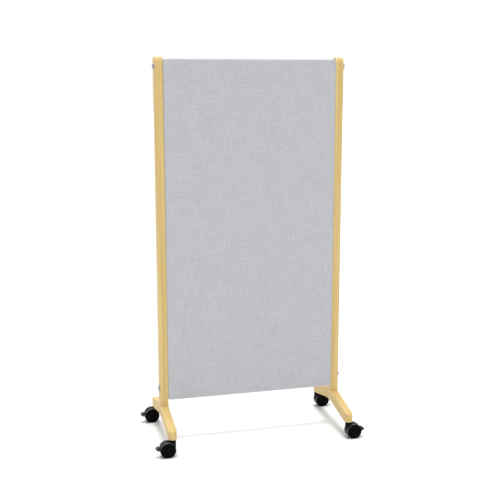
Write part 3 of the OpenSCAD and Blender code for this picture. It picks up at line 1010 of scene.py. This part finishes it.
def spoke_tree():
    """Radial ribs round the hub of a wheel, on the disc that the wheel's inner side leaves hollow."""
    tree = Tree("wheel ribs")
    count, inner, outer, thick, depth, material = tree.inputs(
        Count="Int", Inner_Radius="Float", Outer_Radius="Float", Thickness="Float", Depth="Float",
        Material="Material")
    length = tree.math("SUBTRACT", outer, inner)
    reach = tree.math("MULTIPLY", tree.math("ADD", outer, inner), 0.5)
    rib = tree.shape("MeshCube", Size=tree.vector(X=length, Y=thick, Z=depth))
    placed = tree.shape("Transform", Geometry=rib, Translation=tree.vector(X=reach))
    spots = tree.shape(
        "MeshLine", {"mode": "OFFSET", "count_mode": "TOTAL"}, Count=count, Offset=(0, 0, 0))
    share = tree.math("DIVIDE", tree.shape("InputIndex"), count)
    turn = tree.math("MULTIPLY", share, 2 * math.pi)
    ribs = tree.shape(
        "InstanceOnPoints", Points=spots, Instance=placed, Rotation=tree.vector(Z=turn))
    upright = tree.shape("Transform", Geometry=ribs, Rotation=(math.pi / 2, 0, 0))
    return tree.finish(upright, material)


def grip_tree():
    """A row of rounded ribs across the foot plate of a brake pedal."""
    tree = Tree("pedal grip")
    count, pitch, width, radius, material = tree.inputs(
        Count="Int", Pitch="Float", Width="Float", Radius="Float", Material="Material")
    line = tree.shape(
        "CurvePrimitiveLine", Start=tree.vector(Y=tree.math("MULTIPLY", width, -0.5)),
        End=tree.vector(Y=tree.math("MULTIPLY", width, 0.5)))
    round_ = tree.shape("CurvePrimitiveCircle", {"mode": "RADIUS"}, Resolution=10, Radius=radius)
    rib = tree.shape("CurveToMesh", Curve=line, Profile_Curve=round_, Fill_Caps=True)
    spots = tree.shape(
        "MeshLine", {"mode": "OFFSET", "count_mode": "TOTAL"}, Count=count,
        Offset=tree.vector(X=pitch))
    rows = tree.shape("InstanceOnPoints", Points=spots, Instance=rib)
    return tree.finish(rows, material)


# ------------------------------------------------------------------ seam

class PARTITION_OT_seam_stitches(bpy.types.Operator):
    """Sew the cover's seam with small stitches all round the edge of the panel"""

    bl_idname = "partition.seam_stitches"
    bl_label = "Seam Stitches"

    def execute(self, context):
        panel = context.scene.partition_panel
        cover = Cover(panel)
        sunk = 0.55  # share of the seam's depth that the thread lies down in it
        depth = cover.radius - cover.seam_depth * sunk
        path = bpy.data.curves.new("seam_stitches", "CURVE")
        path.dimensions = "3D"
        line = path.splines.new("POLY")
        points = cover.ring()
        line.points.add(len(points) - 1)
        for point, (x, z, out_x, out_z) in zip(line.points, points):
            point.co = (x + out_x * depth, cover.middle_y, cover.middle_z + z + out_z * depth, 1)
        line.use_cyclic_u = True
        curve = link("seam_path", path)
        thread = finish(
            "grey sewing thread", moulded, (0.36, 0.37, 0.39), rough=0.7, shine=0.20,
            grain=0.05 * MM)
        run_tree(curve, stitch_tree(), Pitch=panel.stitch_pitch, Length=panel.stitch_length,
                 Thread=panel.thread_radius, Material=thread)
        graph = context.evaluated_depsgraph_get()
        mesh = bpy.data.meshes.new_from_object(curve.evaluated_get(graph), depsgraph=graph)
        bpy.data.objects.remove(curve)
        stitches = new_object("seam_stitches", mesh)
        settle(stitches)
        deliver(stitches, "frame", "cover_fabric")
        return {"FINISHED"}


# ------------------------------------------------------------------ panel bolts

class PARTITION_OT_panel_bolts(bpy.types.Operator):
    """Make the domed panel bolts with their hexagon sockets"""

    bl_idname = "partition.panel_bolts"
    bl_label = "Panel Bolts"

    def execute(self, context):
        steel = finish("zinc plated steel", plated, (0.31, 0.31, 0.315), rough=0.28)
        edge = 0.35 * MM
        for side in SIDES:
            for level in ("top", "bottom"):
                node = f"{side}_{level}_bolt"
                bolt = new_object(f"{node}_plated", tidy_copy(node), steel)
                bevel(bolt, edge, segments=3, angle=28)
                settle(bolt, sharp=45)
                deliver(bolt, "frame", "bolt_steel", node)
        return {"FINISHED"}


# ------------------------------------------------------------------ casters

class PackedWheel:
    """Measures of one packed wheel. Its inner side is the one next to the housing, which is hollow
    between the hub and the rim."""

    HUB = 8 * MM

    def __init__(self, caster, which):
        self.node = f"{caster}_{which}_wheel"
        self.facing = -1 if which == "near" else 1
        low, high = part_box(self.node)
        self.radius, self.width = (high.x - low.x) / 2, high.y - low.y
        self.middle = (low + high) / 2
        self.middle.y = high.y if self.facing < 0 else low.y
        self.rim = self.radius - 6.5 * MM
        self.hollow = self.width * 0.45
        self.bore = extent(f"{caster}_axle").x / 2 + 0.05 * MM

    def section(self, shoulder):
        """Half section of the finished wheel: (radius, distance from its inner side)."""
        radius, width, hub, rim, floor = self.radius, self.width, self.HUB, self.rim, self.hollow
        bore, inner_round, bore_end = self.bore, 1.0 * MM, width - 2.5 * MM
        sunk_edge, dome_edge, rings = radius - 6.0 * MM, radius - 6.6 * MM, 10
        dome_foot, dome_rise = width - 0.9 * MM, 0.75 * MM
        inner_edge = arc((radius - inner_round, inner_round), inner_round, -90, 0, steps=4)
        outer_edge = arc((radius - shoulder, width - shoulder), shoulder, 0, 90, steps=8)
        face = [
            (radius - 4.4 * MM, width),
            (radius - 4.8 * MM, width - 0.25 * MM),
            (radius - 5.2 * MM, width - 0.85 * MM),
            (sunk_edge, width - 0.95 * MM),
        ]
        dome = []
        for i in range(rings):
            r = dome_edge * (1 - i / rings)
            dome.append((r, dome_foot + dome_rise * math.cos(math.pi / 2 * r / sunk_edge)))
        dome = [point for point in dome if point[0] > hub + 1.2 * MM]
        groove = dome[-1][1]
        cap = [
            (hub + 0.8 * MM, groove),
            (hub + 0.3 * MM, groove - 0.35 * MM),
            (hub - 0.3 * MM, groove - 0.30 * MM),
            (hub - 0.9 * MM, width - 0.12 * MM),
            (hub * 0.45, width),
            (0.0, width),
        ]
        hollow = [
            (0.0, bore_end), (bore, bore_end), (bore, 0.3 * MM), (bore + 0.3 * MM, 0.0),
            (hub - 0.5 * MM, 0.0), (hub, 0.5 * MM), (hub, floor - 0.8 * MM), (hub + 0.8 * MM, floor),
            (rim - 0.8 * MM, floor), (rim, floor - 0.8 * MM), (rim, 0.5 * MM), (rim + 0.5 * MM, 0.0),
        ]
        return hollow + inner_edge + outer_edge + face + dome + cap


def wheel_face(casters):
    """The moulded black of a wheel's sides and ribs."""
    return finish("moulded wheel face", moulded, tuple(casters.black), rough=0.36, shine=0.03)


def packed_wheels():
    """The eight wheels; near is the wheel towards the front of the screen."""
    return [PackedWheel(caster, which) for caster in CASTERS for which in ("near", "far")]


class PARTITION_OT_wheels(bpy.types.Operator):
    """Make the eight wheels with a rounded tread, a sunk face and a hub cap"""

    bl_idname = "partition.wheels"
    bl_label = "Wheels"

    def execute(self, context):
        casters = context.scene.partition_casters
        face = wheel_face(casters)
        running = finish("wheel tread", tread, tuple(casters.grey))
        steps, tread_depth = 96, 1.2 * MM
        for wheel in packed_wheels():
            shape = lathe(wheel.section(casters.shoulder), steps, wheel.middle, wheel.facing)
            tread_from = wheel.radius - tread_depth
            for polygon in shape.faces:
                place = polygon.calc_center_median() - wheel.middle
                polygon.material_index = int(math.hypot(place.x, place.z) > tread_from)
            piece = new_object(f"{wheel.node}_moulded", shape, face, running)
            settle(piece, sharp=32)
            deliver(piece, wheel.node, "wheel_plastic", wheel.node)
        return {"FINISHED"}


class PARTITION_OT_wheel_ribs(bpy.types.Operator):
    """Stiffen the hidden side of each wheel with radial ribs"""

    bl_idname = "partition.wheel_ribs"
    bl_label = "Wheel Ribs"

    def execute(self, context):
        casters = context.scene.partition_casters
        face = wheel_face(casters)
        tree = spoke_tree()
        sunk, joined, thick, into_floor = 0.4 * MM, 0.3 * MM, 1.3 * MM, 0.1 * MM
        for wheel in packed_wheels():
            depth = wheel.hollow - sunk
            ribs = grow(
                f"{wheel.node}_ribs", tree, Count=casters.spokes, Inner_Radius=wheel.HUB - joined,
                Outer_Radius=wheel.rim + joined, Thickness=thick, Depth=depth, Material=face)
            place = wheel.middle.copy()
            place.y += wheel.facing * (sunk + depth / 2 + into_floor)
            ribs.data.transform(Matrix.Translation(place))
            deliver(ribs, wheel.node, "wheel_plastic")
        return {"FINISHED"}


class PARTITION_OT_caster_housings(bpy.types.Operator):
    """Round the edges of the moulded housings between the wheels"""

    bl_idname = "partition.caster_housings"
    bl_label = "Caster Housings"

    def execute(self, context):
        casters = context.scene.partition_casters
        black = finish("moulded housing", moulded, tuple(casters.black), rough=0.42)
        for caster in CASTERS:
            node = f"{caster}_housing"
            housing = new_object(f"{node}_moulded", tidy_copy(node), black)
            bevel(housing, casters.mould_radius, segments=2, angle=35)
            settle(housing, sharp=40)
            deliver(housing, f"{caster}_caster", "housing_plastic", node)
        return {"FINISHED"}


class PARTITION_OT_brake_pedals(bpy.types.Operator):
    """Make the brake pedals with a grip of moulded ribs"""

    bl_idname = "partition.brake_pedals"
    bl_label = "Brake Pedals"

    def execute(self, context):
        casters = context.scene.partition_casters
        grey = finish("moulded pedal", moulded, tuple(casters.grey), rough=0.42, shine=0.30)
        tree = grip_tree()
        first, pitch, radius, share = 1.6 * MM, 2.1 * MM, 0.5 * MM, 0.66
        for caster in CASTERS:
            node = f"{caster}_pedal"
            pedal = new_object(f"{node}_moulded", tidy_copy(node), grey)
            bevel(pedal, casters.mould_radius, segments=3, angle=35)
            settle(pedal, sharp=40)
            deliver(pedal, node, "pedal_plastic", node)
            low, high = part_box(node)
            away = outward(node)
            root_x, root_z, slope = self.plate_top(node, away)
            grip = grow(
                f"{node}_grip", tree, Count=casters.grip_ribs, Pitch=away * pitch,
                Width=(high.y - low.y) * share, Radius=radius, Material=grey)
            for move in (
                    Matrix.Translation((away * first, 0, 0)),
                    Matrix.Rotation(away * slope, 4, "Y"),
                    Matrix.Translation((away * root_x, (low.y + high.y) / 2, root_z))):
                grip.data.transform(move)
            deliver(grip, node, "pedal_plastic")
        return {"FINISHED"}

    @staticmethod
    def plate_top(node, away):
        """Where the top of the foot plate starts next to the wheels, and how steeply it falls."""
        places = [v.co for v in frame["nodes"][node].data.vertices]
        root = max(places, key=lambda p: (round(p.z, 5), -away * p.x))
        root_x = away * root.x
        falls = [
            (root.z - p.z) / (away * p.x - root_x)
            for p in places if away * p.x > root_x + 1 * MM]
        return root_x, root.z, math.atan(min(falls))


# ------------------------------------------------------------------ pieces kept from the frame

# by material slot: the finish's name, the function that makes it, and what the function is given
KEPT_FINISHES = {
    "dowel_timber": ("beech dowel", plain_timber, (0.62, 0.45, 0.28), (0.50, 0.34, 0.19), 900),
    "frame_timber": ("planed softwood", plain_timber, (0.66, 0.50, 0.30), (0.52, 0.35, 0.18), 500),
    "core_felt": (
        "grey acoustic felt", felt, (0.20, 0.205, 0.21), (0.13, 0.135, 0.14), (0.05, 0.05, 0.06)),
    "wadding": ("white wadding", felt, (0.80, 0.80, 0.78), (0.68, 0.68, 0.66), (0.9, 0.9, 0.9)),
    "spacer_plastic": ("black spacer", moulded, (0.020, 0.020, 0.021), 0.45),
    "insert_metal": ("yellow insert", plated, (0.62, 0.48, 0.22), 0.30),
    "stem_steel": ("black plated stem", plated, (0.050, 0.050, 0.054), 0.32),
}


class PARTITION_OT_fixings(bpy.types.Operator):
    """Give the pieces that stay as they were packed their own finishes"""

    bl_idname = "partition.fixings"
    bl_label = "Fixings and Inner Pieces"

    def execute(self, context):
        slots = {row["node"]: row["material_slot"] for row in frame["record"]["subparts"]}
        for node, packed in frame["nodes"].items():
            if slots[node] in KEPT_FINISHES:
                packed.data.materials.clear()
                packed.data.materials.append(finish(*KEPT_FINISHES[slots[node]]))
        return {"FINISHED"}


# ------------------------------------------------------------------ stage

class PARTITION_OT_stage(bpy.types.Operator):
    """Set up the floor, the soft lights, the room and the camera"""

    bl_idname = "partition.stage"
    bl_label = "Stage"

    def execute(self, context):
        stage = context.scene.partition_stage
        context.scene.view_settings.view_transform = "Standard"
        self.floor()
        self.room(context.scene, stage)
        self.soft_light("overhead", stage.overhead, stage.overhead_width, 0)
        for name, tilt in (("front", stage.flank_tilt), ("rear", -stage.flank_tilt)):
            self.soft_light(f"{name} overhead", stage.flank, stage.flank_width, tilt)
        self.camera(context.scene, stage)
        return {"FINISHED"}

    @staticmethod
    def floor():
        """A level floor, 80 m square."""
        half = 40
        shape = bmesh.new()
        corners = [(-half, -half, 0), (half, -half, 0), (half, half, 0), (-half, half, 0)]
        shape.faces.new([shape.verts.new(corner) for corner in corners])
        new_object("floor", shape, studio_floor("studio floor"))

    @staticmethod
    def room(scene, stage):
        """Even light from all round. The camera and clear reflections see plain white instead."""
        r = Recipe("white room", "worlds")
        light = r.node("Background", {}, {"Color": stage.sky_tint, "Strength": stage.sky})
        white = r.node("Background", {}, {"Color": (1, 1, 1), "Strength": 1.0})
        seen = r.node("LightPath", out="Is Camera Ray").larger(
            r.node("LightPath", out="Is Glossy Ray"))
        r.node("OutputWorld", {}, {"Surface": r.node("MixShader", {}, {0: seen, 1: light, 2: white})})
        scene.world = r.made

    @staticmethod
    def soft_light(name, strength, width, tilt):
        """A far light above the screen, tilted from overhead towards the front."""
        lamp = bpy.data.lights.new(name, "SUN")
        lamp.energy = strength
        lamp.angle = width
        link(name, lamp).rotation_euler = (tilt, 0, 0)

    @staticmethod
    def camera(scene, stage):
        """The camera fitted to the reference picture."""
        lens = bpy.data.cameras.new("camera")
        lens.lens = stage.lens
        lens.sensor_width = 36
        lens.clip_end = 120
        scene.camera = link("camera", lens)
        scene.camera.location = stage.camera_place
        scene.camera.rotation_euler = (math.pi / 2 - stage.pitch, 0, -stage.azimuth)


# ------------------------------------------------------------------ panel and registration

OPERATORS = (
    PARTITION_OT_posts,
    PARTITION_OT_legs,
    PARTITION_OT_panel_cover,
    PARTITION_OT_seam_stitches,
    PARTITION_OT_panel_bolts,
    PARTITION_OT_wheels,
    PARTITION_OT_wheel_ribs,
    PARTITION_OT_caster_housings,
    PARTITION_OT_brake_pedals,
    PARTITION_OT_fixings,
    PARTITION_OT_stage,
)


class PARTITION_PT_sidebar(bpy.types.Panel):
    """Lists the partition's settings and the steps that build it"""

    bl_idname = "PARTITION_PT_sidebar"
    bl_label = "Rolling Partition"
    bl_space_type = "VIEW_3D"
    bl_region_type = "UI"
    bl_category = "Partition"

    def draw(self, context):
        for attribute, group in SETTINGS.items():
            box = self.layout.box()
            box.label(text=group.__doc__)
            for name in group.__annotations__:
                box.prop(getattr(context.scene, attribute), name)
        for operator in OPERATORS:
            self.layout.operator(operator.bl_idname)


CLASSES = (*SETTINGS.values(), *OPERATORS, PARTITION_PT_sidebar)


def register():
    for cls in CLASSES:
        bpy.utils.register_class(cls)
    for attribute, group in SETTINGS.items():
        setattr(bpy.types.Scene, attribute, PointerProperty(type=group))


def unregister():
    for attribute in SETTINGS:
        delattr(bpy.types.Scene, attribute)
    for cls in reversed(CLASSES):
        bpy.utils.unregister_class(cls)


def main():
    """Registers the add-on and builds every piece in order."""
    register()
    for operator in OPERATORS:
        step = operator.bl_idname.split(".")[1]
        getattr(bpy.ops.partition, step)()


if __name__ == "__main__":
    main()
